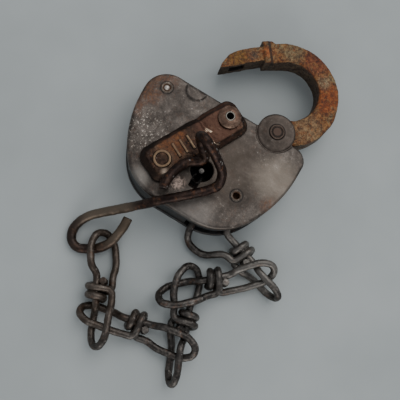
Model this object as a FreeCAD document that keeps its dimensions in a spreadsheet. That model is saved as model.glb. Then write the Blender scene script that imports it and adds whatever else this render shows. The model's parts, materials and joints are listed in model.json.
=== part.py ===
import FreeCAD, Part
import math
import os

import Sketcher

# Old steel switch padlock lying on its back, shackle swung open, with a chain of five
# knotted wire links and a wire hook. Millimetres. The origin is the centre of the flat
# back, +Z points out of the front face and +Y towards the shackle.

Vector = FreeCAD.Vector
UP = Vector(0, 0, 1)

doc = FreeCAD.newDocument("ChainLock")
sheet = doc.addObject("Spreadsheet::Sheet", "Sheet")

DIMENSIONS = {
    # case
    "case_depth": 19.0,
    "plate_thick": 2.6,
    "case_half_width": 36.8,
    "case_top": 24.8,
    "case_bottom": -24.8,
    "shoulder_left_rad": 10.5,
    "shoulder_right_rad": 6.0,
    "side_rad": 52.0,
    "corner_turn": 34.0,
    "plate_bevel": 1.3,
    "rim_inset": 0.5,
    "rim_wall": 3.4,
    "toe_window_slack": 0.5,
    "chain_slot_height": 8.4,
    "boss_height": 0.7,
    "toe_boss_rad": 4.4,
    "ear_rad": 8.2,
    # shackle
    "pivot_x": 20.0,
    "pivot_y": 26.0,
    "opening_angle": 55.0,
    "arm_low": 4.5,
    "arm_thick": 10.5,
    "hub_low": 2.9,
    "hub_thick": 13.2,
    "hub_rad": 7.4,
    "toe_low": 5.0,
    "toe_thick": 9.0,
    "notch_low": 7.5,
    "notch_thick": 4.5,
    "shackle_edge": 1.4,
    "pin_rad": 3.15,
    "pin_hole_rad": 3.2,
    "pin_head_height": 0.45,
    "pin_groove_out": 2.5,
    "pin_groove_in": 1.95,
    "pin_groove_depth": 0.35,
    "shackle_bore_rad": 3.22,
    # rivets
    "rivet_shank_rad": 1.9,
    "rivet_hole_rad": 1.95,
    "rivet_head_rad": 2.5,
    "rivet_head_height": 0.25,
    "rivet_hollow_rad": 1.5,
    "rivet_hollow_depth": 4.0,
    "rivet_dish_depth": 0.5,
    "rivet_dome_rad": 1.2,
    "spacer_rad": 2.4,
    # cover
    "cover_x": 0.0,
    "cover_y": 19.4,
    "cover_swing": -27.0,
    "cover_low": 19.45,
    "cover_height": 3.4,
    "cover_wall": 1.1,
    "cover_half_width": 8.0,
    "cover_reach": 40.2,
    "cover_top_reach": 5.8,
    "cover_corner": 4.4,
    "cover_slope": 2.2,
    "cover_edge": 0.8,
    "emboss": 0.45,
    "cover_pin_rad": 2.2,
    "cover_hole_rad": 2.26,
    "cover_rivet_bore": 1.5,
    "cover_rivet_lip_rad": 1.9,
    "cover_rivet_head_rad": 4.8,
    "cover_rivet_rise": 1.7,
    "flare_rad": 3.2,
    "flare_thick": 0.7,
    "flare_relief_rad": 3.5,
    "flare_relief_depth": 1.0,
    "washer_low_rad": 3.3,
    "washer_high_rad": 2.9,
    "washer_thick": 0.6,
    # lock work
    "key_x": 1.5,
    "key_y": -4.8,
    "keyhole_rad": 4.8,
    "key_post_rad": 1.1,
    "bit_slot_width": 3.6,
    "bit_reach": 8.2,
    "bolt_y": 14.0,
    "bolt_width": 4.2,
    "bolt_low": 5.2,
    "bolt_thick": 3.2,
    "lever_x": 17.5,
    "lever_y": 5.8,
    "lever_low": 8.9,
    "lever_thick": 1.4,
    "lever_pitch": 1.8,
    "lever_boss_rad": 3.8,
    "lever_post_rad": 2.0,
    # chain and hook
    "link_wire": 3.0,
    "hook_wire": 3.9,
}

for row, (name, value) in enumerate(DIMENSIONS.items(), start=1):
    sheet.set(f"A{row}", name)
    sheet.set(f"B{row}", str(value))
    sheet.setAlias(f"B{row}", name)
doc.recompute()

NODES = []


def dim(name):
    """A driving dimension, read back from the sheet."""
    return float(sheet.get(name))


def node(obj, label):
    """Name a finished sub-part; its label names its file."""
    obj.Label = label
    NODES.append(obj)
    return obj


def bind(obj, **expressions):
    """Tie properties to the sheet; a double underscore stands for a dot."""
    for prop, expression in expressions.items():
        obj.setExpression(prop.replace("__", "."), expression)
    return obj


def place(obj, x, y, z, angle=0.0):
    obj.Placement = FreeCAD.Placement(Vector(x, y, z), FreeCAD.Rotation(UP, angle))
    return obj


# ---------------------------------------------------------------- profiles

def polar(centre, radius, degrees):
    """The point at an angle on a circle in the XY plane."""
    angle = math.radians(degrees)
    return Vector(centre[0] + radius * math.cos(angle), centre[1] + radius * math.sin(angle), 0)


def arc(centre, radius, start, end):
    """A counter-clockwise arc between two angles in degrees."""
    circle = Part.Circle(Vector(centre[0], centre[1], 0), UP, radius)
    return Part.ArcOfCircle(circle, math.radians(start), math.radians(end))


def line(start, end):
    return Part.LineSegment(Vector(start[0], start[1], 0), Vector(end[0], end[1], 0))


def polygon(points):
    """Straight edges through the points and back to the first."""
    return [line(a, b) for a, b in zip(points, points[1:] + points[:1])]


def rectangle(x_low, y_low, x_high, y_high):
    return polygon([(x_low, y_low), (x_high, y_low), (x_high, y_high), (x_low, y_high)])


def side_arcs():
    """Centres of the case's left shoulder, side and bottom corner arcs, which are tangent,
    and the radius of the corner arc, which also meets the flat bottom."""
    half, top, bottom = dim("case_half_width"), dim("case_top"), dim("case_bottom")
    shoulder = (dim("shoulder_left_rad") - half, top - dim("shoulder_left_rad"))
    side = (dim("side_rad") - half, shoulder[1])
    turn = math.radians(180.0 + dim("corner_turn"))
    drop = math.sin(turn)
    corner_rad = (side[1] - bottom + dim("side_rad") * drop) / (1 + drop)
    reach = dim("side_rad") - corner_rad
    corner = (side[0] + reach * math.cos(turn), side[1] + reach * drop)
    return shoulder, side, corner, corner_rad


def case_outline(inset):
    """The shield-shaped outline of the case, moved inwards by inset."""
    shoulder, side, corner, full_corner_rad = side_arcs()
    turn = dim("corner_turn")
    top = dim("case_top") - inset
    bottom = dim("case_bottom") + inset
    half = dim("case_half_width") - inset
    left_rad = dim("shoulder_left_rad") - inset
    right_rad = dim("shoulder_right_rad") - inset
    side_rad = dim("side_rad") - inset
    corner_rad = full_corner_rad - inset
    right = (dim("case_half_width") - dim("shoulder_right_rad"),
             dim("case_top") - dim("shoulder_right_rad"))
    mirrored_side = (-side[0], side[1])
    mirrored_corner = (-corner[0], corner[1])
    return [
        line((right[0], top), (shoulder[0], top)),
        arc(shoulder, left_rad, 90, 180),
        arc(side, side_rad, 180, 180 + turn),
        arc(corner, corner_rad, 180 + turn, 270),
        line((corner[0], bottom), (-corner[0], bottom)),
        arc(mirrored_corner, corner_rad, 270, 360 - turn),
        arc(mirrored_side, side_rad, 360 - turn, 360),
        line((half, side[1]), (half, right[1])),
        arc(right, right_rad, 0, 90),
    ]


# ---------------------------------------------------------------- PartDesign helpers

def new_body(label, x=0.0, y=0.0, z=0.0, angle=0.0):
    body = doc.addObject("PartDesign::Body", label)
    place(body, x, y, z, angle)
    return node(body, label)


def sketch_on(body, geometry, height=None, plane="XY_Plane"):
    """A sketch on one of the body's own origin planes, raised by a sheet expression."""
    sketch = body.newObject("Sketcher::SketchObject", body.Label + "_sketch")
    origin = next(f for f in body.Origin.OriginFeatures if f.Role == plane)
    sketch.AttachmentSupport = [(origin, "")]
    sketch.MapMode = "FlatFace"
    if height is not None:
        sketch.setExpression("AttachmentOffset.Base.z", height)
    sketch.addGeometry(geometry, False)
    return sketch


def add_circle(sketch, x, y, radius_name):
    """A circle fixed at a point, with its radius bound to the sheet."""
    index = sketch.addGeometry(Part.Circle(Vector(x, y, 0), UP, dim(radius_name)), False)
    sketch.addConstraint(Sketcher.Constraint("DistanceX", -1, 1, index, 3, x))
    sketch.addConstraint(Sketcher.Constraint("DistanceY", -1, 1, index, 3, y))
    number = sketch.addConstraint(Sketcher.Constraint("Radius", index, dim(radius_name)))
    sketch.setExpression(f"Constraints[{number}]", f"Sheet.{radius_name}")


def circles(body, points, radius_name, height=None):
    sketch = sketch_on(body, [], height)
    for x, y in points:
        add_circle(sketch, x, y, radius_name)
    return sketch


def pad(body, sketch, length):
    """Grow the sketch upwards by a sheet expression."""
    feature = body.newObject("PartDesign::Pad", body.Label + "_pad")
    feature.Profile = sketch
    feature.setExpression("Length", length)
    doc.recompute()
    return feature


def pocket(body, sketch, length=None, reverse=False):
    """Cut the sketch downwards, or upwards when reversed, and make sure that it cuts."""
    before = body.Shape.Volume
    feature = body.newObject("PartDesign::Pocket", body.Label + "_pocket")
    feature.Profile = sketch
    feature.Reversed = reverse
    if length is None:
        feature.Type = "ThroughAll"
        feature.Midplane = True
    else:
        feature.setExpression("Length", length)
    doc.recompute()
    if body.Shape.Volume > before - 1e-3:
        raise RuntimeError(f"a pocket of {body.Label} cuts nothing")
    return feature


def edges_at(shape, height, test=lambda edge: True):
    """Names of the edges that lie wholly at one height and pass the test."""
    names = []
    for number, edge in enumerate(shape.Edges, start=1):
        box = edge.BoundBox
        if abs(box.ZMin - height) < 1e-4 and abs(box.ZMax - height) < 1e-4 and test(edge):
            names.append(f"Edge{number}")
    return names


def dress(body, kind, base, edges, size):
    """A fillet or chamfer whose size is bound to the sheet."""
    feature = body.newObject(f"PartDesign::{kind}", f"{body.Label}_{kind.lower()}")
    feature.Base = (base, edges)
    feature.setExpression("Radius" if kind == "Fillet" else "Size", size)
    doc.recompute()
    return feature


# ---------------------------------------------------------------- primitives

def cylinder(label, x, y, z, radius, height):
    """A cylinder whose radius and height are sheet expressions or numbers."""
    solid = doc.addObject("Part::Cylinder", label)
    bind(solid, Radius=str(radius), Height=str(height))
    return place(solid, x, y, z)


def box(label, low, high):
    solid = doc.addObject("Part::Box", label)
    solid.Length, solid.Width, solid.Height = [h - l for l, h in zip(low, high)]
    return place(solid, *low)


def boolean(kind, label, base, tool):
    result = doc.addObject(f"Part::{kind}", label)
    result.Base = base
    result.Tool = tool
    return result


def fuse(label, parts):
    result = doc.addObject("Part::MultiFuse", label)
    result.Shapes = parts
    return result


def cut(label, base, tool):
    return boolean("Cut", label, base, tool)


def group(label, solids):
    """Identical separate solids kept in one sub-part."""
    compound = doc.addObject("Part::Compound", label)
    compound.Links = solids
    return node(compound, label)


# ---------------------------------------------------------------- case

# Rivet centres: left shoulder, lower left, and lower right, which also anchors the chain.
RIVETS = [(-28.6, 17.7), (-18.8, -6.4), (18.8, -6.4)]
DOMED_RIVET = RIVETS[0]
TOE_SOCKET_X = -17.5
BACK_GAP = 0.05


def ear_circle():
    return [Part.Circle(Vector(dim("pivot_x"), dim("pivot_y"), 0), UP, dim("ear_rad"))]


def drill_case_plate(body):
    """Holes for the shackle pin and the case rivets."""
    pocket(body, circles(body, [(dim("pivot_x"), dim("pivot_y"))], "pin_hole_rad"))
    pocket(body, circles(body, RIVETS, "rivet_hole_rad"))


def make_back_plate():
    body = new_body("back_plate")
    pad(body, sketch_on(body, case_outline(0.0)), "Sheet.plate_thick")
    pad(body, sketch_on(body, ear_circle()), "Sheet.plate_thick")
    drill_case_plate(body)


def make_front_plate():
    body = new_body("front_plate")
    low = "Sheet.case_depth - Sheet.plate_thick"
    plate = pad(body, sketch_on(body, case_outline(0.0), low), "Sheet.plate_thick")
    dress(body, "Fillet", plate, edges_at(plate.Shape, dim("case_depth")), "Sheet.plate_bevel")
    ear = pad(body, sketch_on(body, ear_circle(), low), "Sheet.plate_thick + Sheet.boss_height")
    crown = dim("case_depth") + dim("boss_height")
    dress(body, "Chamfer", ear, edges_at(ear.Shape, crown), "Sheet.boss_height / 2")
    half_disc = [arc((TOE_SOCKET_X, dim("case_top") - 1.3), dim("toe_boss_rad"), 180, 360),
                 line((TOE_SOCKET_X + dim("toe_boss_rad"), dim("case_top") - 1.3),
                      (TOE_SOCKET_X - dim("toe_boss_rad"), dim("case_top") - 1.3))]
    boss = sketch_on(body, half_disc, low)
    pad(body, boss, "Sheet.plate_thick + Sheet.boss_height")
    drill_case_plate(body)
    pocket(body, circles(body, [(dim("cover_x"), dim("cover_y"))], "cover_hole_rad"))
    pocket(body, circles(body, [(dim("key_x"), dim("key_y"))], "keyhole_rad"))
    half_slot = dim("bit_slot_width") / 2
    key_y = dim("key_y")
    slot = rectangle(dim("key_x") - half_slot, key_y - dim("bit_reach"),
                     dim("key_x") + half_slot, key_y)
    pocket(body, sketch_on(body, slot))


# Gaps in the rim wall: spans in X through the top wall, and the chain's slot as a rectangle.
HUB_GAP_X = (12.0, 30.5)
TOE_WINDOW_X = (-21.4, -12.3)
TOP_WALL_Y = (-5.5, 5.0)
CHAIN_SLOT = (6.6, -27.0, 28.2, -10.5)


def top_wall_gap(span):
    """A rectangle across the top wall of the rim."""
    top = dim("case_top")
    return rectangle(span[0], top + TOP_WALL_Y[0], span[1], top + TOP_WALL_Y[1])


def make_rim():
    """The ring wall between the plates, open at the toe, at the hub and for the chain."""
    body = new_body("case_rim")
    height = "Sheet.case_depth - 2 * Sheet.plate_thick"
    inset = dim("rim_inset")
    pad(body, sketch_on(body, case_outline(inset), "Sheet.plate_thick"), height)
    pocket(body, sketch_on(body, case_outline(inset + dim("rim_wall"))))
    # The hub's gap goes through the whole height of the wall.
    pocket(body, sketch_on(body, top_wall_gap(HUB_GAP_X)))
    # The toe's socket is a window in the top wall; the chain's slot opens onto the back plate.
    toe_window = sketch_on(body, top_wall_gap(TOE_WINDOW_X),
                           "Sheet.toe_low + Sheet.toe_thick + Sheet.toe_window_slack")
    pocket(body, toe_window, "Sheet.toe_thick + 2 * Sheet.toe_window_slack")
    chain_slot = sketch_on(body, rectangle(*CHAIN_SLOT),
                           "Sheet.plate_thick + Sheet.chain_slot_height")
    pocket(body, chain_slot, "Sheet.chain_slot_height")
    # The cover rivet's flare sits in a shallow relief in the top of the wall.
    relief = circles(body, [(dim("cover_x"), dim("cover_y"))], "flare_relief_rad",
                     "Sheet.case_depth - Sheet.plate_thick")
    pocket(body, relief, "Sheet.flare_relief_depth")


def make_rivets():
    """Hollow rivets with low heads; the one on the shoulder has a dome in its dish."""
    rivets = []
    face = dim("case_depth")
    crown = face + dim("rivet_head_height")
    for number, (x, y) in enumerate(RIVETS, start=1):
        shank = cylinder(f"rivet_shank_{number}", x, y, BACK_GAP, "Sheet.rivet_shank_rad",
                         f"Sheet.case_depth - {BACK_GAP}")
        head = cylinder(f"rivet_head_{number}", x, y, face, "Sheet.rivet_head_rad",
                        "Sheet.rivet_head_height")
        whole = fuse(f"rivet_blank_{number}", [shank, head])
        domed = (x, y) == DOMED_RIVET
        depth = "rivet_dish_depth" if domed else "rivet_hollow_depth"
        hollow = cylinder(f"rivet_hollow_{number}", x, y, crown - dim(depth),
                          "Sheet.rivet_hollow_rad", f"Sheet.{depth}")
        opened = cut(f"rivet_{number}", whole, hollow)
        if domed:
            dome = doc.addObject("Part::Sphere", "rivet_dome")
            bind(dome, Radius="Sheet.rivet_dome_rad")
            place(dome, x, y, crown - dim("rivet_dish_depth"))
            opened = fuse("rivet_with_dome", [opened, dome])
        rivets.append(opened)
    group("case_rivets", rivets)


def make_spacers():
    """Sleeves that hold the plates apart on the rivets."""
    spacers = []
    for number, (x, y) in enumerate(RIVETS, start=1):
        gap = "Sheet.case_depth - 2 * Sheet.plate_thick"
        sleeve = cylinder(f"sleeve_{number}", x, y, dim("plate_thick"), "Sheet.spacer_rad", gap)
        bore = cylinder(f"sleeve_bore_{number}", x, y, dim("plate_thick"),
                        "Sheet.rivet_hole_rad", gap)
        spacers.append(cut(f"spacer_{number}", sleeve, bore))
    group("rivet_spacers", spacers)


# ---------------------------------------------------------------- shackle

BOW_CENTRE = (-18.15, 7.2)
BOW_RAD = 23.6
GAP_CENTRE = (-19.4, 8.9)
GAP_RAD = 13.0
TOE_OUTER_RAD = 40.6
TOE_ROOT = 1.0
BEAK_ANGLE = 203.0
BEAK_BEVEL, BEAK_TIP = (-33.6, -19.4), (-31.4, -20.5)
TOE_INNER_EDGE = [(-32.1, -13.5), (-33.4, -7.5), (-34.3, TOE_ROOT)]
NOTCH = (-34.7, -16.0, -27.0, -9.2)
SEAT = -0.9


def on_circle_at_height(centre, radius, height, side):
    """Where a circle crosses a height, on its right (+1) or left (-1) side."""
    across = math.sqrt(radius ** 2 - (height - centre[1]) ** 2)
    return (centre[0] + side * across, height)


def angle_of(centre, point):
    return math.degrees(math.atan2(point[1] - centre[1], point[0] - centre[0]))


def arm_outline():
    """Neck, bow and collar, drawn closed, about the pivot."""
    outer_right = on_circle_at_height(BOW_CENTRE, BOW_RAD, 2.0, 1)
    outer_left = on_circle_at_height(BOW_CENTRE, BOW_RAD, 5.0, -1)
    inner_left = (GAP_CENTRE[0] - GAP_RAD, GAP_CENTRE[1])
    inner_right = on_circle_at_height(GAP_CENTRE, GAP_RAD, 5.5, 1)
    heel_right, heel_left = (3.6, -2.5), (-4.6, -2.5)
    collar_out, collar_in = -43.0, -32.6
    start = angle_of(BOW_CENTRE, outer_right)
    end = angle_of(BOW_CENTRE, outer_left) % 360
    back = angle_of(GAP_CENTRE, inner_right)
    return [
        line(heel_right, outer_right),
        arc(BOW_CENTRE, BOW_RAD, start, end),
        line(outer_left, (collar_out, 3.4)),
        line((collar_out, 3.4), (collar_out, SEAT)),
        line((collar_out, SEAT), (collar_in, SEAT)),
        line((collar_in, SEAT), inner_left),
        arc(GAP_CENTRE, GAP_RAD, back, 180),
        line(inner_right, heel_left),
        line(heel_left, heel_right),
    ]


def toe_outline():
    """The curved toe, which enters the case, ending in a bevelled beak."""
    centre = (0.0, 0.0)
    root = on_circle_at_height(centre, TOE_OUTER_RAD, TOE_ROOT, -1)
    beak = polar(centre, TOE_OUTER_RAD, BEAK_ANGLE)
    corners = [beak, BEAK_BEVEL, BEAK_TIP] + TOE_INNER_EDGE + [root]
    back = [line(a, b) for a, b in zip(corners, corners[1:])]
    return [arc(centre, TOE_OUTER_RAD, angle_of(centre, root) % 360, BEAK_ANGLE)] + back


def clear_of_hub(edge):
    """The neck's lower end, which the hub covers, keeps its sharp edges."""
    return edge.BoundBox.YMax > 3.0 or edge.BoundBox.XMax < -20.0


def make_shackle():
    body = new_body("shackle", dim("pivot_x"), dim("pivot_y"), 0.0, -dim("opening_angle"))
    arm = pad(body, sketch_on(body, arm_outline(), "Sheet.arm_low"), "Sheet.arm_thick")
    heights = (dim("arm_low"), dim("arm_low") + dim("arm_thick"))
    rims = [name for z in heights for name in edges_at(arm.Shape, z, clear_of_hub)]
    dress(body, "Fillet", arm, rims, "Sheet.shackle_edge")
    pad(body, sketch_on(body, toe_outline(), "Sheet.toe_low"), "Sheet.toe_thick")
    pad(body, circles(body, [(0, 0)], "hub_rad", "Sheet.hub_low"), "Sheet.hub_thick")
    pocket(body, circles(body, [(0, 0)], "shackle_bore_rad"))
    # The bolt's notch is a slot in the inner side of the toe.
    notch = sketch_on(body, rectangle(*NOTCH), "Sheet.notch_low + Sheet.notch_thick")
    pocket(body, notch, "Sheet.notch_thick")


def make_shackle_pin():
    """The rivet that the shackle turns on, with a ring groove in its head."""
    x, y = dim("pivot_x"), dim("pivot_y")
    crown = dim("case_depth") + dim("boss_height") + dim("pin_head_height")
    floor = crown - dim("pin_groove_depth")
    shank = cylinder("pin_shank", x, y, BACK_GAP, "Sheet.pin_rad", crown - BACK_GAP)
    ring = cylinder("pin_ring", x, y, floor, "Sheet.pin_groove_out", 1)
    core = cylinder("pin_core", x, y, floor, "Sheet.pin_groove_in", 1)
    groove = cut("pin_groove", ring, core)
    node(cut("shackle_pin", shank, groove), "shackle_pin")


# ---------------------------------------------------------------- keyhole cover

# Plain raised marks on the cover: a ring and three ribs, measured from the rivet.
MARK_RING_Y = -33.0
MARK_RING_RADII = (3.7, 2.6)
MARK_RIB_Y = (-26.2, -22.8, -19.4)
MARK_RIB_HALF = (3.2, 0.5)


# The pressing's middle line lies a little to one side of its rivet.
COVER_OFFSET = 0.6


def cover_outline(inset):
    """A long rectangle with four rounded corners, moved inwards by inset."""
    half = dim("cover_half_width") - inset
    low = inset - dim("cover_reach")
    high = dim("cover_top_reach") - inset
    corner = dim("cover_corner") - inset
    west, east = COVER_OFFSET - half, COVER_OFFSET + half
    left, right, bottom, top = west + corner, east - corner, low + corner, high - corner
    return [
        line((east, bottom), (east, top)),
        arc((right, top), corner, 0, 90),
        line((right, high), (left, high)),
        arc((left, top), corner, 90, 180),
        line((west, top), (west, bottom)),
        arc((left, bottom), corner, 180, 270),
        line((left, low), (right, low)),
        arc((right, bottom), corner, 270, 360),
    ]


def make_cover():
    """A pressed channel that hangs over the keyhole, drawn hanging straight down."""
    body = new_body("keyhole_cover", dim("cover_x"), dim("cover_y"), 0.0, dim("cover_swing"))
    shell = pad(body, sketch_on(body, cover_outline(0.0), "Sheet.cover_low"),
                "Sheet.cover_height")
    top = dim("cover_low") + dim("cover_height")
    sloped = dress(body, "Chamfer", shell, edges_at(shell.Shape, top), "Sheet.cover_slope")
    dress(body, "Fillet", sloped, edges_at(sloped.Shape, top), "Sheet.cover_edge")
    inside = sketch_on(body, cover_outline(dim("cover_slope")), "Sheet.cover_low")
    pocket(body, inside, "Sheet.cover_height - Sheet.cover_wall", reverse=True)
    sunk = "Sheet.cover_low + Sheet.cover_height - 0.2"
    ring = [Part.Circle(Vector(COVER_OFFSET, MARK_RING_Y, 0), UP, radius) for radius in MARK_RING_RADII]
    pad(body, sketch_on(body, ring, sunk), "Sheet.emboss + 0.2")
    half_x, half_y = MARK_RIB_HALF
    for y in MARK_RIB_Y:
        rib = rectangle(COVER_OFFSET - half_x, y - half_y, COVER_OFFSET + half_x, y + half_y)
        pad(body, sketch_on(body, rib, sunk), "Sheet.emboss + 0.2")
    pocket(body, circles(body, [(0, 0)], "cover_hole_rad"))


def make_cover_rivet():
    """A hollow rivet with a broad domed head, flared behind the front plate."""
    body = new_body("cover_rivet", dim("cover_x"), dim("cover_y"))
    bore, shank = dim("cover_rivet_bore"), dim("cover_pin_rad")
    head, lip, flare = dim("cover_rivet_head_rad"), dim("cover_rivet_lip_rad"), dim("flare_rad")
    inner = dim("case_depth") - dim("plate_thick") - 0.05
    tail = inner - dim("flare_thick")
    seat = dim("cover_low") + dim("cover_height") + 0.1
    brim = seat + 0.4
    crown = seat + dim("cover_rivet_rise")
    rim = crown + 0.2
    dome = Part.Arc(Vector(head, brim, 0), Vector(0.78 * head, seat + 1.1, 0),
                    Vector(lip, crown, 0))
    profile = [
        line((bore, tail), (flare, tail)),
        line((flare, tail), (flare, inner)),
        line((flare, inner), (shank, inner)),
        line((shank, inner), (shank, seat)),
        line((shank, seat), (head, seat)),
        line((head, seat), (head, brim)),
        dome,
        line((lip, crown), (lip, rim)),
        line((lip, rim), (bore, rim)),
        line((bore, rim), (bore, tail)),
    ]
    sketch = sketch_on(body, profile, plane="XZ_Plane")
    turn = body.newObject("PartDesign::Revolution", "cover_rivet_turn")
    turn.Profile = sketch
    turn.ReferenceAxis = (sketch, ["V_Axis"])
    turn.Angle = 360.0
    doc.recompute()


def cone(label, x, y, z, low, high, height):
    solid = doc.addObject("Part::Cone", label)
    solid.Radius1, solid.Radius2, solid.Height = low, high, height
    return place(solid, x, y, z)


def make_cover_washer():
    """A dished spring washer that holds the cover where it is put."""
    x, y = dim("cover_x"), dim("cover_y")
    low = dim("case_depth") + 0.05
    height = dim("cover_low") + dim("cover_height") - dim("cover_wall") - 0.05 - low
    wide, narrow, thick = dim("washer_low_rad"), dim("washer_high_rad"), dim("washer_thick")
    outer = cone("washer_outer", x, y, low, wide, narrow, height)
    inner = cone("washer_inner", x, y, low, wide - thick, narrow - thick, height)
    node(cut("cover_washer", outer, inner), "cover_washer")


# ---------------------------------------------------------------- lock work

def make_key_post():
    x, y = dim("key_x"), dim("key_y")
    post = cylinder("key_post_pin", x, y, dim("plate_thick"), "Sheet.key_post_rad", 15.2)
    flange = cylinder("key_post_flange", x, y, dim("plate_thick"), 2.2, 1.5)
    node(fuse("key_post", [post, flange]), "key_post")


def make_bolt_guide():
    """A channel on the back plate, with the wall that the bolt's spring pushes on."""
    base_low, base_high, cheek_high = dim("plate_thick"), 5.0, 8.3
    y = dim("bolt_y")
    parts = [
        box("guide_base", (-3.0, y - 3.6, base_low), (19.0, y + 3.6, base_high)),
        box("guide_cheek_low", (-3.0, y - 3.6, base_low), (-0.3, y - 2.2, cheek_high)),
        box("guide_cheek_high", (-3.0, y + 2.2, base_low), (9.0, y + 3.6, cheek_high)),
        box("guide_wall", (17.6, y - 2.4, base_low), (19.0, y + 2.4, 8.6)),
    ]
    node(fuse("bolt_guide", parts), "bolt_guide")


def make_bolt():
    """Nose, bar, talon for the key, and the stump that runs in the levers' windows."""
    y, half = dim("bolt_y"), dim("bolt_width") / 2
    low = dim("bolt_low")
    high = low + dim("bolt_thick")
    nose_low, nose_high = dim("notch_low") + 0.4, dim("notch_low") + dim("notch_thick") - 0.4
    stump_top = dim("lever_low") + 2 * dim("lever_pitch") + dim("lever_thick") + 0.6
    stump = doc.addObject("Part::Cylinder", "bolt_stump")
    bind(stump, Radius="1.6", Height=str(stump_top - low))
    place(stump, 3.0, y, low)
    parts = [
        box("bolt_nose", (-11.0, y - half, nose_low), (-4.0, y + half, nose_high)),
        box("bolt_shoulder", (-6.0, y - half, low), (-4.0, y + half, nose_high)),
        box("bolt_bar", (-4.0, y - half, low), (9.0, y + half, high)),
        box("bolt_talon", (3.6, y - 6.4, low), (8.0, y, low + 2.2)),
        stump,
    ]
    node(fuse("bolt", parts), "bolt")


def make_bolt_spring():
    """A compression coil behind the bolt."""
    coil_rad, wire_rad, start, end = 1.35, 0.3, 9.4, 17.3
    turns = 6.0
    spring = doc.addObject("Part::Feature", "bolt_spring")
    helix = Part.makeHelix((end - start) / turns, end - start, coil_rad)
    section = Part.Wire(Part.makeCircle(wire_rad, Vector(coil_rad, 0, 0), Vector(0, 1, 0)))
    coil = Part.Wire(helix).makePipeShell([section], True, True)
    spring.Shape = coil
    centre = dim("bolt_low") + dim("bolt_thick") / 2
    spring.Placement = FreeCAD.Placement(Vector(start, dim("bolt_y"), centre),
                                         FreeCAD.Rotation(Vector(0, 1, 0), 90))
    node(spring, "bolt_spring")


def make_lever_post():
    x, y = dim("lever_x"), dim("lever_y")
    top = dim("case_depth") - dim("plate_thick")
    post = cylinder("lever_post_pin", x, y, dim("plate_thick"), "Sheet.lever_post_rad",
                    top - dim("plate_thick"))
    shoulder = cylinder("lever_post_step", x, y, dim("plate_thick"), 2.6,
                        dim("lever_low") - 0.3 - dim("plate_thick"))
    node(fuse("lever_post", [post, shoulder]), "lever_post")


def lever_outline(belly):
    """A tumbler seen from the front: a boss, an arm with a belly, and a head."""
    head_low, head_high = dim("bolt_y") - 5.4, dim("bolt_y") + 3.9
    return polygon([(0.0, -3.2), (-6.0, 0.2), (-11.0, belly), (-17.5, belly - 0.2),
                    (-21.0, head_low - 5.8), (-21.0, head_high - 5.8), (-8.6, head_high - 5.8),
                    (-5.0, 6.0), (0.0, 3.2)])


def make_levers():
    """Three tumblers on one post, each with its own belly height and a windowed head."""
    for number, belly in enumerate((1.7, 2.1, 1.9), start=1):
        low = dim("lever_low") + (number - 1) * dim("lever_pitch")
        body = new_body(f"lever_{number}", dim("lever_x"), dim("lever_y"), low)
        pad(body, sketch_on(body, lever_outline(belly)), "Sheet.lever_thick")
        pad(body, circles(body, [(0, 0)], "lever_boss_rad"), "Sheet.lever_thick")
        stump_y = dim("bolt_y") - dim("lever_y")
        window = rectangle(-19.7, stump_y - 3.6, -11.4, stump_y + 2.1)
        pocket(body, sketch_on(body, window))
        bore = sketch_on(body, [Part.Circle(Vector(0, 0, 0), UP, dim("lever_post_rad") + 0.06)])
        pocket(body, bore)


def make_lever_springs():
    """A leaf on each tumbler that reaches towards the right-hand wall."""
    thick = 0.4
    for number in range(1, 4):
        low = dim("lever_low") + (number - 1) * dim("lever_pitch") + 0.1
        leaf = polygon([(2.9, 2.5), (6.0, 5.0), (12.5, 5.6), (12.5, 5.6 - thick),
                        (6.2, 5.0 - thick), (3.2, 2.2)])
        body = new_body(f"lever_spring_{number}", dim("lever_x"), dim("lever_y"), low)
        pad(body, sketch_on(body, leaf), "Sheet.lever_thick - 0.2")


# ---------------------------------------------------------------- wire

def rounded_path(points, share=0.45):
    """Straight runs joined by tangent arcs through a list of points."""
    edges = []
    last = points[0]
    for before, corner, after in zip(points, points[1:], points[2:]):
        back, forth = before - corner, after - corner
        reach = share * min(back.Length, forth.Length)
        back.normalize()
        forth.normalize()
        turn = math.pi - back.getAngle(forth)
        radius = reach / math.tan(turn / 2)
        entry, leave = corner + back * reach, corner + forth * reach
        middle = back + forth
        middle.normalize()
        mid = corner + middle * (radius / math.cos(turn / 2) - radius)
        edges.append(Part.LineSegment(last, entry).toShape())
        edges.append(Part.Arc(entry, mid, leave).toShape())
        last = leave
    edges.append(Part.LineSegment(last, points[-1]).toShape())
    return Part.Wire(edges)


def wire_solid(label, points, diameter):
    """A round wire bent along the points, with its volume compared with its length."""
    path = rounded_path(points)
    start = path.OrderedEdges[0]
    along = start.tangentAt(start.FirstParameter)
    section = Part.Wire(Part.makeCircle(diameter / 2, points[0], along))
    solid = path.makePipeShell([section], True, False)
    expected = path.Length * math.pi * diameter ** 2 / 4
    if abs(solid.Volume / expected - 1) > 0.02:
        raise RuntimeError(f"{label} has volume {solid.Volume:.0f}, expected {expected:.0f}")
    feature = doc.addObject("Part::Feature", label)
    feature.Shape = solid
    return node(feature, label)


def turned(point, axis, degrees):
    return FreeCAD.Rotation(axis, degrees).multVec(point)


# A link is one wire. Its core strand runs straight through two coils, and each end of the
# wire comes back from a loop beside the knot and makes one coil round the core.
COIL_GAP = 0.15
COIL_START = 0.1
COIL_PITCH = 3.2
COIL_STEP = 45.0
COIL_CUT_END = 404.0
COIL_LEAVES = 75.0
STRAND_SIDE = 6.4
STRAND_LAP = 1.66


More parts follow.
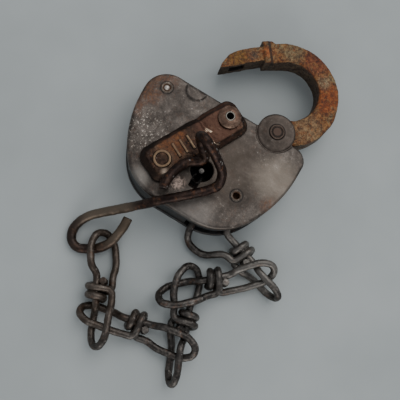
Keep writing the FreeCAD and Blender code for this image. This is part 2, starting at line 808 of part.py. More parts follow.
def coil_points():
    """A little over one turn round the core strand, from the cut end to where the strand
    comes in."""
    radius = (dim("link_wire") + COIL_GAP) / math.cos(math.radians(COIL_STEP / 2))
    steps = int((COIL_CUT_END - COIL_LEAVES) / COIL_STEP)
    angles = [COIL_CUT_END] + [COIL_LEAVES + COIL_STEP * step for step in range(steps - 1, -1, -1)]
    points = []
    for degrees in angles:
        angle = math.radians(degrees)
        points.append(Vector(-COIL_START - COIL_PITCH * degrees / 360.0,
                             -radius * math.cos(angle), -radius * math.sin(angle)))
    return points


def loop_points(bend, pitch, twist, length, width):
    """A long eye, bent sideways, pitched up and twisted about its own line."""
    half, corner = width / 2, 0.45 * width
    flat = [(0.30 * length, -half), (length - corner, -half), (length, -0.42 * half),
            (length, 0.42 * half), (length - corner, half), (0.30 * length, half)]
    root = Vector(4.0, -STRAND_SIDE / 2, 0.0)
    points = []
    for x, y in flat:
        point = turned(Vector(x, y, 0), Vector(1, 0, 0), twist)
        point = turned(point, Vector(0, 1, 0), -pitch)
        points.append(root + turned(point, UP, bend))
    return points


def half_link(loop):
    """Coil, returning strand, loop and core strand of one half of a link."""
    entry = [Vector(-COIL_START, -STRAND_SIDE, -STRAND_LAP),
             Vector(5.2, -STRAND_SIDE, -STRAND_LAP)]
    return coil_points() + entry + loop + [Vector(6.8, 0, 0)]


def link_points(near_loop, far_loop):
    """The halves are alike, turned half a turn about the link's Y axis."""
    near = [Vector(-p.x, p.y, -p.z) for p in half_link(near_loop)]
    return half_link(far_loop) + near[::-1]


# Knot centre, heading, pitch and roll of each link as it lies, then its two loops as
# (bend, pitch, twist, length, width). The first link's near loop passes round the rivet.
LINKS = [
    ((34.5, -22.2, 4.8), (-15.0, 0.7, 0.8), None, (-0.5, 3.0, 70.0, 19.2, 7.9)),
    ((29.5, -37.8, 5.7), (42.6, 0.0, -0.4), (-0.5, -4.7, 37.0, 20.8, 10.7),
     (5.3, 8.1, 32.0, 20.8, 9.5)),
    ((28.5, -58.7, 4.9), (-68.6, 0.0, 0.5), (5.0, 3.0, 28.0, 18.5, 11.8),
     (1.6, 2.9, 69.0, 21.6, 8.0)),
    ((11.1, -69.1, 5.1), (15.8, 0.8, 0.0), (5.8, 2.9, 36.0, 19.7, 8.7),
     (-7.7, 8.0, 24.0, 21.5, 9.9)),
    ((-9.9, -67.0, 5.8), (119.8, -1.7, -0.3), (7.5, -3.7, 49.5, 18.5, 9.2),
     (5.0, -4.3, 28.5, 19.9, 11.5)),
]

# The first link's loop through the slot and round the rivet sleeve, in the lock's frame.
ANCHOR_LOOP = [
    (23.6, -19.2, 5.8), (22.9, -13.6, 6.6), (24.0, -6.5, 6.6), (21.2, -0.8, 6.6),
    (15.4, -1.0, 6.6), (11.2, -7.0, 6.6), (9.6, -17.0, 6.6), (9.6, -25.0, 5.6),
    (11.4, -30.4, 2.6), (20.0, -32.4, 2.2),
]


def link_placement(centre, angles):
    heading, pitch, roll = angles
    rotation = (FreeCAD.Rotation(UP, heading) * FreeCAD.Rotation(Vector(0, 1, 0), -pitch)
                * FreeCAD.Rotation(Vector(1, 0, 0), roll))
    return FreeCAD.Placement(Vector(*centre), rotation)


def make_links():
    for number, (centre, angles, near, far) in enumerate(LINKS, start=1):
        placement = link_placement(centre, angles)
        if near is None:
            inward = placement.inverse()
            local = [inward.multVec(Vector(*p)) for p in ANCHOR_LOOP]
            near_loop = [Vector(-p.x, p.y, -p.z) for p in reversed(local)]
        else:
            near_loop = loop_points(*near)
        route = link_points(near_loop, loop_points(*far))
        link = wire_solid(f"chain_link_{number}", route, dim("link_wire"))
        link.Placement = placement


# The hook: a cut end, the crook that holds the chain, a long shank that climbs over the
# edge of the case, an upright eye, and a tail that rests above the cover.
HOOK_ROUTE = [
    (-14.3, -35.7, 8.9), (-13.9, -40.1, 8.0), (-15.0, -47.7, 5.7), (-18.0, -51.7, 3.3),
    (-21.9, -54.4, 2.2), (-25.7, -56.4, 2.1), (-29.4, -55.3, 2.1), (-31.7, -51.5, 2.4),
    (-31.1, -46.7, 3.6), (-28.2, -42.1, 5.4), (-24.3, -38.8, 7.5), (-18.4, -34.2, 11.5),
    (-13.5, -30.7, 16.2), (-6.4, -25.3, 23.2), (0.2, -19.8, 25.6), (7.2, -13.0, 25.6),
    (10.6, -8.5, 26.0), (9.1, -4.1, 29.8), (3.5, -1.7, 35.4), (-3.6, 0.5, 40.8),
    (-6.5, 1.8, 36.4), (1.5, -2.5, 25.4), (-5.2, -6.8, 25.6), (-7.2, -10.5, 25.6),
    (-8.1, -15.2, 25.6), (-8.1, -19.7, 25.6), (-7.7, -21.1, 25.6),
]


def make_hook():
    wire_solid("chain_hook", [Vector(*p) for p in HOOK_ROUTE], dim("hook_wire"))


# ---------------------------------------------------------------- build and export

def make_all():
    make_back_plate()
    make_rim()
    make_front_plate()
    make_rivets()
    make_spacers()
    make_shackle()
    make_shackle_pin()
    make_cover()
    make_cover_rivet()
    make_cover_washer()
    make_key_post()
    make_bolt_guide()
    make_bolt()
    make_bolt_spring()
    make_lever_post()
    make_levers()
    make_lever_springs()
    make_links()
    make_hook()


def check_all():
    """Stop at any object that failed to recompute and any sub-part without a valid shape."""
    for obj in doc.Objects:
        if "Invalid" in obj.State or "Error" in obj.State:
            raise RuntimeError(f"{obj.Label} failed: {obj.State}")
    for obj in NODES:
        if obj.Shape.isNull() or not obj.Shape.isValid():
            raise RuntimeError(f"{obj.Label} has no valid shape")


def export_all():
    os.makedirs("parts", exist_ok=True)
    for obj in NODES:
        obj.Shape.exportStep(f"parts/{obj.Label}.step")
        box_ = obj.Shape.BoundBox
        print(f"{obj.Label:16s} solids {len(obj.Shape.Solids)} volume {obj.Shape.Volume:9.1f} "
              f"x {box_.XMin:7.2f} {box_.XMax:7.2f} y {box_.YMin:7.2f} {box_.YMax:7.2f} "
              f"z {box_.ZMin:6.2f} {box_.ZMax:6.2f}")


make_all()
doc.recompute()
check_all()
export_all()
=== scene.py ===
import json
import math

import bpy
import numpy as np
from mathutils import Matrix, Vector, noise

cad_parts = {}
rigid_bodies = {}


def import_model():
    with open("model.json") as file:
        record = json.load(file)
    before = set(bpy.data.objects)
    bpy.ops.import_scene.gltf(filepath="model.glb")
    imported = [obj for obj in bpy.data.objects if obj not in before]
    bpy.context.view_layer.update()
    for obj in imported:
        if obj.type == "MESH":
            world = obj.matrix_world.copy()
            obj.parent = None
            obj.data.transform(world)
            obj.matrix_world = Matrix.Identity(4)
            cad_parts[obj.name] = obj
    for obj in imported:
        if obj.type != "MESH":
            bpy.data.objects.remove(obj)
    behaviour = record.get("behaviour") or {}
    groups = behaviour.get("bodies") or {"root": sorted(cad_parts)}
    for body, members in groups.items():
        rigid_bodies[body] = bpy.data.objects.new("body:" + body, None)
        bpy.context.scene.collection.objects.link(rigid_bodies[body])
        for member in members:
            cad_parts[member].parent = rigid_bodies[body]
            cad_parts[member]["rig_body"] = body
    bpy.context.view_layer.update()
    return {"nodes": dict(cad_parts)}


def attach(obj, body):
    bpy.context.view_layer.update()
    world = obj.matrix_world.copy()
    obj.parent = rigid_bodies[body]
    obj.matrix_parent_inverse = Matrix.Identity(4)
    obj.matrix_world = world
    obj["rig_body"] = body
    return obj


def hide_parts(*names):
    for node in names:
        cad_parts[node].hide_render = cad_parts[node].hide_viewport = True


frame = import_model()

# An old riveted switch padlock, its shackle swung open, with a chain of knotted wire links
# and a wire hook. The visible CAD nodes are copied, remeshed finely and worn by relief
# functions; what stays hidden inside keeps its CAD mesh and gets a material.

MM = 0.001

# Upright axes of the riveted parts, in millimetres, and the cover's turn as it rests.
CASE_RIVETS = ((-28.6, 17.7), (-18.8, -6.4), (18.8, -6.4))
DOMED_RIVET = CASE_RIVETS[0]
PIN_AXIS = (20.0, 26.0)
COVER_AXIS = (0.0, 19.4)
COVER_SWING = math.radians(-27.0)


# ---------------------------------------------------------------- materials

def srgb(red, green, blue):
    """A colour given on the usual 0-255 scale, as linear RGBA."""
    def linear(value):
        share = value / 255.0
        return share / 12.92 if share <= 0.04045 else ((share + 0.055) / 1.055) ** 2.4
    return (linear(red), linear(green), linear(blue), 1.0)


class Graph:
    """A material's node tree, with short calls for the nodes that steel and rust need.
    paint() lays colours over one another and done() connects them to the shader."""

    def __init__(self, name, metallic, roughness, specular=0.5):
        self.material = bpy.data.materials.new(name)
        self.material.use_nodes = True
        self.tree = self.material.node_tree
        self.tree.nodes.clear()
        output = self.tree.nodes.new("ShaderNodeOutputMaterial")
        self.shader = self.tree.nodes.new("ShaderNodeBsdfPrincipled")
        self.tree.links.new(self.shader.outputs["BSDF"], output.inputs["Surface"])
        self.shader.inputs["Specular IOR Level"].default_value = specular
        self.place = self.tree.nodes.new("ShaderNodeTexCoord").outputs["Object"]
        self.colour, self.metallic, self.roughness = None, metallic, roughness

    def node(self, kind, *inputs, **settings):
        """A node with its inputs set in order: a socket is linked, anything else is a value."""
        made = self.tree.nodes.new(kind)
        for name, value in settings.items():
            setattr(made, name, value)
        for socket, value in zip(made.inputs, inputs):
            self.feed(socket, value)
        return made

    def feed(self, socket, value):
        if isinstance(value, bpy.types.NodeSocket):
            self.tree.links.new(value, socket)
        elif value is not None:
            socket.default_value = value

    def noise(self, size_mm, detail=4.0, roughness=0.6, distortion=0.0, place=None):
        """Fractal noise whose largest lumps are about size_mm across."""
        made = self.tree.nodes.new("ShaderNodeTexNoise")
        self.feed(made.inputs["Vector"], place or self.place)
        made.inputs["Scale"].default_value = 1.0 / (size_mm * MM)
        made.inputs["Detail"].default_value = detail
        made.inputs["Roughness"].default_value = roughness
        made.inputs["Distortion"].default_value = distortion
        return made.outputs["Fac"]

    def stretched(self, heading, stretch):
        """Coordinates that make noise into streaks along a heading in the XY plane."""
        return self.node("ShaderNodeMapping", self.place, None,
                         (0.0, 0.0, math.radians(-heading)), (1.0 / stretch, 1.0, 1.0),
                         vector_type="POINT").outputs["Vector"]

    def math(self, operation, first, second=None):
        return self.node("ShaderNodeMath", first, second, operation=operation).outputs[0]

    def times(self, first, second):
        return self.math("MULTIPLY", first, second)

    def step(self, value, low, high):
        """0 below low, 1 above high (or the other way round), smooth between."""
        made = self.tree.nodes.new("ShaderNodeMapRange")
        made.interpolation_type = "SMOOTHSTEP"
        self.feed(made.inputs["Value"], value)
        made.inputs["From Min"].default_value = low
        made.inputs["From Max"].default_value = high
        return made.outputs["Result"]

    def ramp(self, value, stops):
        made = self.tree.nodes.new("ShaderNodeValToRGB")
        self.feed(made.inputs["Fac"], value)
        elements = made.color_ramp.elements
        while len(elements) < len(stops):
            elements.new(0.5)
        for element, (position, colour) in zip(elements, stops):
            element.position = position
            element.color = colour
        return made.outputs["Color"]

    def mix(self, factor, first, second, blend="MIX"):
        made = self.tree.nodes.new("ShaderNodeMix")
        made.data_type = "RGBA"
        made.blend_type = blend
        for socket, value in zip([made.inputs[0], made.inputs[6], made.inputs[7]],
                                 [factor, first, second]):
            self.feed(socket, value)
        return made.outputs[2]

    def blend(self, factor, first, second):
        """A number between first and second."""
        made = self.tree.nodes.new("ShaderNodeMix")
        for socket, value in zip(made.inputs[:4], [factor, None, first, second]):
            self.feed(socket, value)
        return made.outputs[0]

    def paint(self, mask, colour, metallic=None, roughness=None):
        """Lay a colour, and optionally another metalness and roughness, over the rest."""
        self.colour = self.mix(mask, self.colour, colour)
        if metallic is not None:
            self.metallic = self.blend(mask, self.metallic, metallic)
        if roughness is not None:
            self.roughness = self.blend(mask, self.roughness, roughness)

    def shade(self, factor, fine):
        self.colour = self.mix(factor, self.colour, fine, "MULTIPLY")

    def near(self, centre_mm, radius_mm, soft_mm):
        """1 inside a ball of that radius, fading to 0 over soft_mm."""
        centre = Vector(centre_mm) * MM
        gap = self.node("ShaderNodeVectorMath", self.place, centre, operation="DISTANCE")
        return self.step(gap.outputs["Value"], (radius_mm + soft_mm) * MM, radius_mm * MM)

    def around(self, axis_mm, radius_mm, soft_mm=0.12):
        """1 within a radius of an upright axis, fading to 0 over soft_mm."""
        flat = self.node("ShaderNodeVectorMath", self.place, (1.0, 1.0, 0.0),
                         operation="MULTIPLY").outputs["Vector"]
        centre = Vector((*axis_mm, 0.0)) * MM
        gap = self.node("ShaderNodeVectorMath", flat, centre, operation="DISTANCE")
        return self.step(gap.outputs["Value"], (radius_mm + soft_mm) * MM, radius_mm * MM)

    def stripe(self, point_mm, heading, half_mm, soft_mm=0.2):
        """1 in a thin upright slab through a point, square to a heading in the XY plane."""
        across = (math.cos(math.radians(heading)), math.sin(math.radians(heading)), 0.0)
        reach = self.node("ShaderNodeVectorMath", self.place, across, operation="DOT_PRODUCT")
        offset = (across[0] * point_mm[0] + across[1] * point_mm[1]) * MM
        gap = self.math("ABSOLUTE", self.math("SUBTRACT", reach.outputs["Value"], offset))
        return self.step(gap, (half_mm + soft_mm) * MM, half_mm * MM)

    def above(self, low_mm, high_mm):
        """0 below one height, 1 above the other."""
        height = self.node("ShaderNodeSeparateXYZ", self.place).outputs["Z"]
        return self.step(height, low_mm * MM, high_mm * MM)

    def facing_up(self, low, high):
        """How much the surface looks up, from its shape alone."""
        normal = self.tree.nodes.new("ShaderNodeNewGeometry").outputs["Normal"]
        return self.step(self.node("ShaderNodeSeparateXYZ", normal).outputs["Z"], low, high)

    def pointed(self, low, high):
        """Sharp edges (above 0.5) or hollows (below 0.5), as a mask."""
        shape = self.tree.nodes.new("ShaderNodeNewGeometry").outputs["Pointiness"]
        return self.step(shape, low, high)

    def bump(self, height, depth_mm, strength=1.0):
        made = self.tree.nodes.new("ShaderNodeBump")
        made.inputs["Strength"].default_value = strength
        made.inputs["Distance"].default_value = depth_mm * MM
        self.feed(made.inputs["Height"], height)
        self.tree.links.new(made.outputs["Normal"], self.shader.inputs["Normal"])

    def done(self):
        self.feed(self.shader.inputs["Base Color"], self.colour)
        self.feed(self.shader.inputs["Metallic"], self.metallic)
        self.feed(self.shader.inputs["Roughness"], self.roughness)
        return self.material


GRIT = [(0.30, srgb(70, 66, 62)), (0.46, srgb(150, 147, 144)), (0.58, srgb(215, 212, 208)),
        (0.72, srgb(255, 255, 255))]
RUST_TONES = [(0.30, srgb(62, 34, 20)), (0.50, srgb(116, 66, 30)), (0.72, srgb(160, 102, 50))]


def worn_steel(name, dark, mid, light, gloss=0.45, metallic=0.75, speck=0.35, stain=0.2,
               mottling=0.85):
    """Old bare steel: blotches, fine mottling, bright specks, edges lightened as wear and painted
    highlight, hollows darkened as painted shade with dull grime.
    """
    g = Graph(name, metallic, gloss)
    mottle = g.noise(1.5, 5.0, 0.72)
    grain = g.noise(0.45, 3.0, 0.6)
    g.colour = g.ramp(g.noise(8.0, 6.0, 0.66, 0.6), [(0.34, dark), (0.50, mid), (0.68, light)])
    g.shade(mottling, g.ramp(mottle, GRIT))
    g.shade(0.35, g.ramp(grain, GRIT))
    dull = g.step(g.noise(3.2, 5.0, 0.7, 1.0), 0.54, 0.66)
    g.paint(g.times(dull, stain), g.ramp(grain, RUST_TONES), 0.2, 0.75)
    specks = g.times(g.step(mottle, 0.58, 0.70), g.step(grain, 0.48, 0.62))
    g.paint(g.times(specks, speck), srgb(205, 198, 190))
    # Edges lightened: wear, and a painted highlight on the rims.
    g.paint(g.times(g.pointed(0.52, 0.60), 0.55), srgb(168, 160, 152))
    # Hollows darkened: painted shade, with dull grime.
    g.paint(g.times(g.pointed(0.485, 0.40), 0.75), srgb(30, 25, 22), 0.3, 0.7)
    g.roughness = g.math("ADD", g.times(mottle, 0.30), g.math("ADD", g.roughness, -0.15))
    g.bump(g.math("ADD", g.times(mottle, 0.7), g.times(grain, 0.4)), 0.12, 0.6)
    return g


def rust_patch(g, centre, radius, fade, strength=1.0):
    """Orange-brown rust that breaks up towards the edge of a ball."""
    broken = g.step(g.noise(2.6, 6.0, 0.75, 1.5), 0.36, 0.56)
    mask = g.times(g.times(g.near(centre, radius, fade), broken), strength)
    g.paint(mask, g.ramp(g.noise(1.2, 5.0, 0.7), RUST_TONES), 0.1, 0.8)


def tint_and_painted_light(g, centre, radius, fade, strength, colour):
    """A spot of another colour that fades out over the steel around it; it serves for worn, grimy
    and tinted places, and for painted light and painted highlights.
    """
    g.paint(g.times(g.near(centre, radius, fade), strength), colour)


def front_steel():
    g = worn_steel("case_front", srgb(74, 66, 60), srgb(104, 95, 88), srgb(136, 126, 118), 0.42,
                   mottling=0.6, stain=0.12)
    tint_and_painted_light(g, (7.0, 2.0, 19.0), 8.0, 15.0, 0.6, srgb(72, 62, 53))
    tint_and_painted_light(g, (7.0, -22.0, 19.0), 3.0, 10.0, 0.3, srgb(150, 143, 136))
    # The right side of the plate is lightened here as painted light.
    tint_and_painted_light(g, (30.0, 8.0, 19.0), 3.0, 11.0, 0.4, srgb(150, 138, 124))
    # A painted highlight near the lower-left edge of the plate.
    tint_and_painted_light(g, (-19.0, -21.0, 19.0), 1.0, 6.0, 0.35, srgb(160, 154, 146))
    bare = g.step(g.noise(2.2, 5.0, 0.7, 1.0), 0.42, 0.56)
    g.paint(g.times(g.times(g.near((-4.5, -14.5, 19.0), 1.0, 3.5), bare), 0.7),
            srgb(190, 166, 152))
    rust_patch(g, (-33.5, 12.0, 19.0), 2.0, 6.0, 0.5)
    rust_patch(g, (-31.0, 21.5, 19.0), 1.5, 6.0, 0.5)
    rust_patch(g, (-34.5, 4.0, 18.0), 1.0, 4.5, 0.4)
    rust_patch(g, (33.0, -3.0, 19.0), 1.0, 5.0, 0.4)
    # Pale pitting left of the cover.
    pits = g.step(g.noise(1.0, 4.0, 0.7), 0.57, 0.65)
    g.paint(g.times(g.times(pits, g.near((-27.0, -3.0, 19.0), 4.0, 9.0)), 0.75),
            srgb(200, 189, 175))
    # The ear is brown; round each rivet and the pin the plate is darkened, painted shade in the
    # crevice with grime.
    g.paint(g.times(g.around(PIN_AXIS, 8.6, 0.4), 0.45), srgb(80, 68, 59))
    for axis in CASE_RIVETS:
        g.paint(g.times(g.around(axis, 2.7, 0.5), 0.75), srgb(40, 32, 26), 0.2, 0.8)
    g.paint(g.times(g.around(PIN_AXIS, 3.5, 0.4), 0.75), srgb(44, 34, 28), 0.3, 0.7)
    return g.done()


def side_steel():
    g = worn_steel("case_side", srgb(30, 31, 33), srgb(48, 49, 51), srgb(74, 73, 72), 0.42,
                   speck=0.12)
    return g.done()


def rivet_steel():
    g = worn_steel("rivet", srgb(84, 74, 66), srgb(112, 101, 91), srgb(146, 136, 124), 0.35)
    # Dark rust inside the hollow ends, and one domed end rubbed bright.
    for axis in CASE_RIVETS:
        g.paint(g.times(g.around(axis, 1.62, 0.1), 0.9), srgb(92, 64, 42), 0.1, 0.85)
    g.paint(g.times(g.around(DOMED_RIVET, 1.05, 0.2), 0.9), srgb(214, 204, 192), 0.8, 0.3)
    # The shackle pin is brown all over, with grime in its turned rings.
    g.paint(g.times(g.around(PIN_AXIS, 3.3), 0.7), srgb(78, 61, 50), 0.6, 0.45)
    g.paint(g.times(g.around(PIN_AXIS, 2.3, 0.2), 0.7), srgb(34, 26, 22), 0.4, 0.6)
    g.paint(g.times(g.around(PIN_AXIS, 1.6, 0.3), 0.9), srgb(66, 50, 40), 0.7, 0.4)
    return g.done()


def cover_steel():
    g = worn_steel("cover", srgb(46, 31, 24), srgb(76, 55, 42), srgb(112, 90, 72), 0.38,
                   metallic=0.8, speck=0.2, stain=0.45, mottling=0.75)
    tint_and_painted_light(g, (-4.0, 16.0, 22.0), 7.0, 5.0, 0.5, srgb(84, 54, 42))
    for spot in ((-13.9, 1.2, 23.0), (-11.1, -3.5, 23.0), (-16.5, -5.0, 23.0)):
        rust_patch(g, spot, 1.5, 3.0, 0.85)
    # The raised marks are rubbed pale; the sloping sides are darkened as painted shade.
    g.paint(g.times(g.above(22.98, 23.15), 0.5), srgb(150, 124, 96))
    g.paint(g.times(g.facing_up(0.90, 0.70), 0.7), srgb(38, 29, 24))
    # A painted highlight on the lower edge of the cover.
    tint_and_painted_light(g, (-10.6, -14.3, 21.6), 0.2, 2.6, 0.7, srgb(190, 172, 152))
    # Bright scratches beside the waist.
    streak = g.step(g.noise(0.9, 2.0, 0.5, 0.0, g.stretched(-35.0, 7.0)), 0.60, 0.66)
    g.paint(g.times(g.times(streak, g.near((-2.5, 8.6, 22.6), 1.5, 4.0)), 0.9),
            srgb(222, 196, 168), 0.9, 0.3)
    return g.done()


def cover_rivet_steel():
    g = worn_steel("cover_rivet", srgb(104, 76, 62), srgb(146, 116, 98), srgb(190, 162, 140), 0.34,
                   metallic=0.75, speck=0.2, stain=0.2, mottling=0.5)
    g.paint(g.around(COVER_AXIS, 1.95), srgb(132, 126, 116), 0.8, 0.38)
    # The bore of the hollow rivet is painted near black, as painted shade.
    g.paint(g.around(COVER_AXIS, 1.5, 0.08), srgb(12, 12, 10), 0.0, 0.8)
    return g.done()


def chain_steel():
    g = worn_steel("chain", srgb(72, 67, 63), srgb(102, 96, 91), srgb(138, 132, 126), 0.36,
                   metallic=0.65, speck=0.35, stain=0.2)
    # The sides of the wires are darkened as painted shade.
    g.paint(g.times(g.facing_up(0.65, 0.10), 0.6), srgb(34, 31, 29))
    tint_and_painted_light(g, (-12.0, -62.0, 4.0), 16.0, 14.0, 0.35, srgb(84, 66, 50))
    tint_and_painted_light(g, (38.0, -20.0, 5.0), 12.0, 10.0, 0.3, srgb(150, 144, 136))
    return g.done()


def hook_steel():
    g = worn_steel("hook", srgb(50, 34, 29), srgb(74, 54, 46), srgb(100, 78, 64), 0.40,
                   speck=0.15, stain=0.35)
    tint_and_painted_light(g, (-22.0, -38.0, 8.0), 8.0, 10.0, 0.6, srgb(124, 110, 94))
    tint_and_painted_light(g, (-14.0, -37.0, 9.0), 3.0, 5.0, 0.5, srgb(74, 60, 46))
    tint_and_painted_light(g, (-30.0, -52.0, 2.0), 5.0, 6.0, 0.5, srgb(58, 50, 44))
    return g.done()


def forged_rust():
    """The shackle: heavy flaking rust over forged steel, in patches of orange, red-brown,
    tan and grey-green, with an ochre toe; its walls are painted dark and pitted as painted shade."""
    g = Graph("shackle_rust", 0.25, 0.62)
    blotch = g.noise(5.0, 8.0, 0.75, 1.5)
    flake = g.noise(1.3, 8.0, 0.80, 0.6)
    g.colour = g.ramp(blotch, [(0.34, srgb(84, 48, 26)), (0.44, srgb(126, 76, 38)),
                               (0.51, srgb(150, 106, 60)), (0.58, srgb(140, 120, 88)),
                               (0.68, srgb(124, 114, 90))])
    torn = g.step(g.noise(2.4, 7.0, 0.78, 1.2), 0.38, 0.52)
    for centre, radius, fade, colour in [
            ((31.0, 53.0, 16.0), 5.0, 4.0, srgb(150, 76, 26)),
            ((20.0, 64.7, 16.0), 3.5, 4.5, srgb(126, 66, 38)),
            ((27.2, 58.6, 16.0), 1.5, 3.0, srgb(158, 144, 118)),
            ((31.0, 36.0, 16.0), 4.5, 4.0, srgb(148, 122, 92)),
            ((9.0, 63.5, 16.0), 2.5, 4.0, srgb(134, 120, 92)),
            ((-1.6, 56.8, 16.0), 1.8, 1.6, srgb(172, 100, 50)),
            ((-5.3, 53.0, 16.0), 2.0, 2.0, srgb(92, 76, 66)),
            ((-10.5, 48.0, 16.0), 3.5, 2.5, srgb(128, 92, 32))]:
        g.paint(g.times(g.times(g.near(centre, radius, fade), torn), 0.9), colour)
    orange = g.step(g.noise(1.6, 7.0, 0.75, 1.0), 0.55, 0.62)
    g.paint(g.times(orange, 0.7), srgb(158, 84, 30))
    g.shade(0.95, g.ramp(flake, [(0.36, srgb(52, 36, 26)), (0.46, srgb(168, 146, 122)),
                                 (0.56, srgb(255, 248, 232))]))
    g.paint(g.times(g.step(flake, 0.56, 0.64), 0.2), srgb(190, 160, 118))
    g.paint(g.times(g.stripe((0.9, 57.2), 38.0, 0.3, 0.5), 0.8), srgb(30, 20, 14))
    # Edges lightened: wear and painted highlight.
    g.paint(g.times(g.pointed(0.52, 0.60), 0.45), srgb(186, 150, 104))
    # Hollows darkened as painted shade.
    g.paint(g.times(g.pointed(0.485, 0.42), 0.75), srgb(26, 17, 12))
    # The walls are darkened as painted shade.
    wall = g.ramp(g.noise(2.0, 6.0, 0.7, 1.0), [(0.40, srgb(30, 24, 20)), (0.60, srgb(84, 74, 62))])
    g.paint(g.times(g.facing_up(0.80, 0.30), 0.85), wall, 0.4, 0.5)
    # The floor of the notch, the only face that looks up from low down, is painted nearly black as
    # painted shade.
    g.paint(g.times(g.above(14.0, 12.5), g.facing_up(0.30, 0.80)), srgb(24, 19, 16))
    g.roughness = g.blend(flake, 0.45, 0.85)
    g.bump(flake, 0.35, 0.9)
    return g.done()


def floor_material():
    g = Graph("floor", 0.0, 0.9, 0.2)
    g.colour = g.ramp(g.noise(60.0, 3.0), [(0.3, srgb(170, 174, 172)), (0.7, srgb(180, 184, 182))])
    return g.done()


STEEL = {
    "case_front": front_steel(),
    "case_side": side_steel(),
    "rivet": rivet_steel(),
    "cover": cover_steel(),
    "cover_rivet": cover_rivet_steel(),
    "chain": chain_steel(),
    "hook": hook_steel(),
    "inner": worn_steel("inner", srgb(66, 64, 62), srgb(98, 96, 94), srgb(128, 126, 124)).done(),
}
RUST = forged_rust()


# ---------------------------------------------------------------- worn pieces

def collection_link(obj):
    bpy.context.scene.collection.objects.link(obj)
    return obj


def remeshed(node, name, voxel_mm, smooth_steps):
    """A copy of a CAD node with even, fine faces and softened edges."""
    piece = collection_link(bpy.data.objects.new(name, frame["nodes"][node].data.copy()))
    remesh = piece.modifiers.new("remesh", "REMESH")
    remesh.mode = "VOXEL"
    remesh.voxel_size = voxel_mm * MM
    if smooth_steps:
        smooth = piece.modifiers.new("smooth", "SMOOTH")
        smooth.factor = 0.5
        smooth.iterations = smooth_steps
    seen = piece.evaluated_get(bpy.context.evaluated_depsgraph_get())
    mesh = bpy.data.meshes.new_from_object(seen)
    piece.modifiers.clear()
    piece.data = mesh
    return piece


def coordinates(mesh):
    flat = np.empty(len(mesh.vertices) * 3)
    mesh.vertices.foreach_get("co", flat)
    return flat.reshape(-1, 3)


def normals(mesh):
    flat = np.empty(len(mesh.vertices) * 3)
    mesh.vertices.foreach_get("normal", flat)
    return flat.reshape(-1, 3)


def lumps(points, size_mm, seed, octaves=3):
    """Fractal noise at each point, about -1 to 1, with lumps about size_mm across."""
    shift = Vector((seed * 17.3, seed * 5.1, seed * 9.7))
    scale = 1.0 / (size_mm * MM)
    return np.array([noise.fractal(Vector(p) * scale + shift, 1.0, 2.0, octaves)
                     for p in points])


def worn(node, name, material, voxel_mm=0.25, smooth_steps=2, layers=(), shape=None):
    """The piece that stands for a CAD node: a remeshed copy, reshaped, then roughened by
    layers of (lump size, depth) in millimetres along the normals."""
    piece = remeshed(node, name, voxel_mm, smooth_steps)
    points = coordinates(piece.data)
    if shape is not None:
        points = shape(points, normals(piece.data))
        piece.data.vertices.foreach_set("co", points.ravel())
        piece.data.update()
    outward = normals(piece.data)
    relief = np.zeros(len(points))
    for seed, (size, depth) in enumerate(layers, start=1):
        relief += lumps(points, size, seed) * depth * MM
    points = points + outward * relief[:, None]
    piece.data.vertices.foreach_set("co", points.ravel())
    piece.data.update()
    piece.data.shade_smooth()
    piece.data.materials.clear()
    piece.data.materials.append(material)
    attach(piece, frame["nodes"][node]["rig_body"])
    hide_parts(node)
    return piece


def smoothstep(low, high, value):
    share = np.clip((value - low) / (high - low), 0.0, 1.0)
    return share * share * (3.0 - 2.0 * share)


def press_cover(points, outward):
    """The upper end of the cover steps down towards its rivet, over a pinched waist."""
    pivot = np.array((*COVER_AXIS, 0.0)) * MM
    turn = np.array(Matrix.Rotation(COVER_SWING, 3, "Z"))
    local = (points - pivot) @ turn
    along = local[:, 1] / MM
    waist = np.exp(-((along + 11.5) / 1.8) ** 2)
    local[:, 0] *= 1.0 - 0.05 * waist
    upper = smoothstep(20.6 * MM, 22.4 * MM, local[:, 2])
    step = smoothstep(-12.6, -10.6, along)
    local[:, 2] -= upper * (0.55 * step + 0.25 * waist) * MM
    return local @ turn.T + pivot


EAR_FALL_MM = 1.0


def dish_ear(points, outward):
    """The ear round the shackle pin falls away towards its edge."""
    gap = np.hypot(points[:, 0] / MM - PIN_AXIS[0], points[:, 1] / MM - PIN_AXIS[1])
    top = smoothstep(18.4 * MM, 19.4 * MM, points[:, 2]) * (gap < 8.8)
    points[:, 2] -= top * smoothstep(2.8, 8.4, gap) * EAR_FALL_MM * MM
    return points


# Piece by piece: the voxel in millimetres, the smoothing steps and the layers of relief.
worn("front_plate", "front_plate_worn", STEEL["case_front"], 0.30, 2,
     [(14.0, 0.10), (1.6, 0.02)], shape=dish_ear)
worn("back_plate", "back_plate_worn", STEEL["case_side"], 0.40, 2, [(6.0, 0.08)])
worn("case_rim", "case_rim_worn", STEEL["case_side"], 0.40, 1, [(6.0, 0.08)])
worn("case_rivets", "rivets_worn", STEEL["rivet"], 0.14, 2, [(0.8, 0.03)])
worn("shackle", "shackle_forged", RUST, 0.25, 4,
     [(8.0, 0.30), (2.2, 0.10), (0.8, 0.05)])
worn("shackle_pin", "shackle_pin_worn", STEEL["rivet"], 0.16, 2, [(1.2, 0.03)])
worn("keyhole_cover", "cover_pressing", STEEL["cover"], 0.16, 3,
     [(5.0, 0.14), (1.2, 0.05)], shape=press_cover)
worn("cover_rivet", "cover_rivet_worn", STEEL["cover_rivet"], 0.12, 2,
     [(1.5, 0.04)])
for number in range(1, 6):
    worn(f"chain_link_{number}", f"link_{number}_wire", STEEL["chain"], 0.22, 2,
         [(5.0, 0.14), (1.1, 0.05)])
worn("chain_hook", "hook_wire_bent", STEEL["hook"], 0.25, 2,
     [(6.0, 0.18), (1.2, 0.05)])

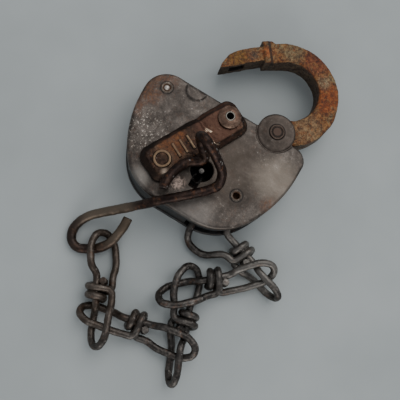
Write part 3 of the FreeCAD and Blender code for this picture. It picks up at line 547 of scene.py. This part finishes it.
levers = [f"{kind}_{number}" for kind in ("lever", "lever_spring") for number in (1, 2, 3)]
for name in ["rivet_spacers", "cover_washer", "key_post", "bolt_guide", "bolt", "bolt_spring",
             "lever_post"] + levers:
    mesh = frame["nodes"][name].data
    mesh.materials.clear()
    mesh.materials.append(STEEL["case_side" if name == "key_post" else "inner"])


# ---------------------------------------------------------------- stage, light and camera

FLOOR_SIZE = 4.0
CAMERA_PLACE = Vector((0.0033, -0.0740, 0.270))
CAMERA_RIGHT = Vector((0.85483, 0.50254, 0.12936))
CAMERA_UP = Vector((-0.51871, 0.83454, 0.18568))
CAMERA_BACK = Vector((-0.01464, -0.22582, 0.97405))
LENS_MM, SENSOR_MM = 57.6, 36.0
AIM = Vector((0.007, -0.011, 0.0))

bpy.ops.mesh.primitive_plane_add(size=FLOOR_SIZE, location=(0, 0, 0))
floor = bpy.context.object
floor.name = "floor"
floor.data.materials.append(floor_material())


def soft_light(name, direction, distance, size, power):
    """A square area light, placed in a direction from the object and aimed at it."""
    data = bpy.data.lights.new(name, "AREA")
    data.size = size
    data.energy = power
    lamp = collection_link(bpy.data.objects.new(name, data))
    lamp.location = AIM + Vector(direction).normalized() * distance
    lamp.rotation_euler = (AIM - lamp.location).to_track_quat("-Z", "Y").to_euler()
    return lamp


# A broad key from the upper right, and a low light from the near side for gloss.
LIGHT_DISTANCE = 1.0
AMBIENT = 0.55
soft_light("key", CAMERA_RIGHT * 0.55 + CAMERA_UP * 0.6 + Vector((0, 0, 1.1)),
           LIGHT_DISTANCE, size=0.9, power=4.6)
soft_light("gloss", CAMERA_UP * -0.9 + Vector((0, 0, 0.45)),
           LIGHT_DISTANCE, size=0.8, power=4.5)

world = bpy.data.worlds.new("studio")
world.use_nodes = True
background = world.node_tree.nodes["Background"]
background.inputs["Color"].default_value = srgb(225, 232, 240)
background.inputs["Strength"].default_value = AMBIENT
bpy.context.scene.world = world

camera_data = bpy.data.cameras.new("camera")
camera_data.lens = LENS_MM
camera_data.sensor_width = SENSOR_MM
camera_data.clip_start = 0.01
camera = collection_link(bpy.data.objects.new("camera", camera_data))
turn = Matrix((CAMERA_RIGHT, CAMERA_UP, CAMERA_BACK)).transposed()
camera.matrix_world = Matrix.Translation(CAMERA_PLACE) @ turn.to_4x4()
bpy.context.scene.camera = camera
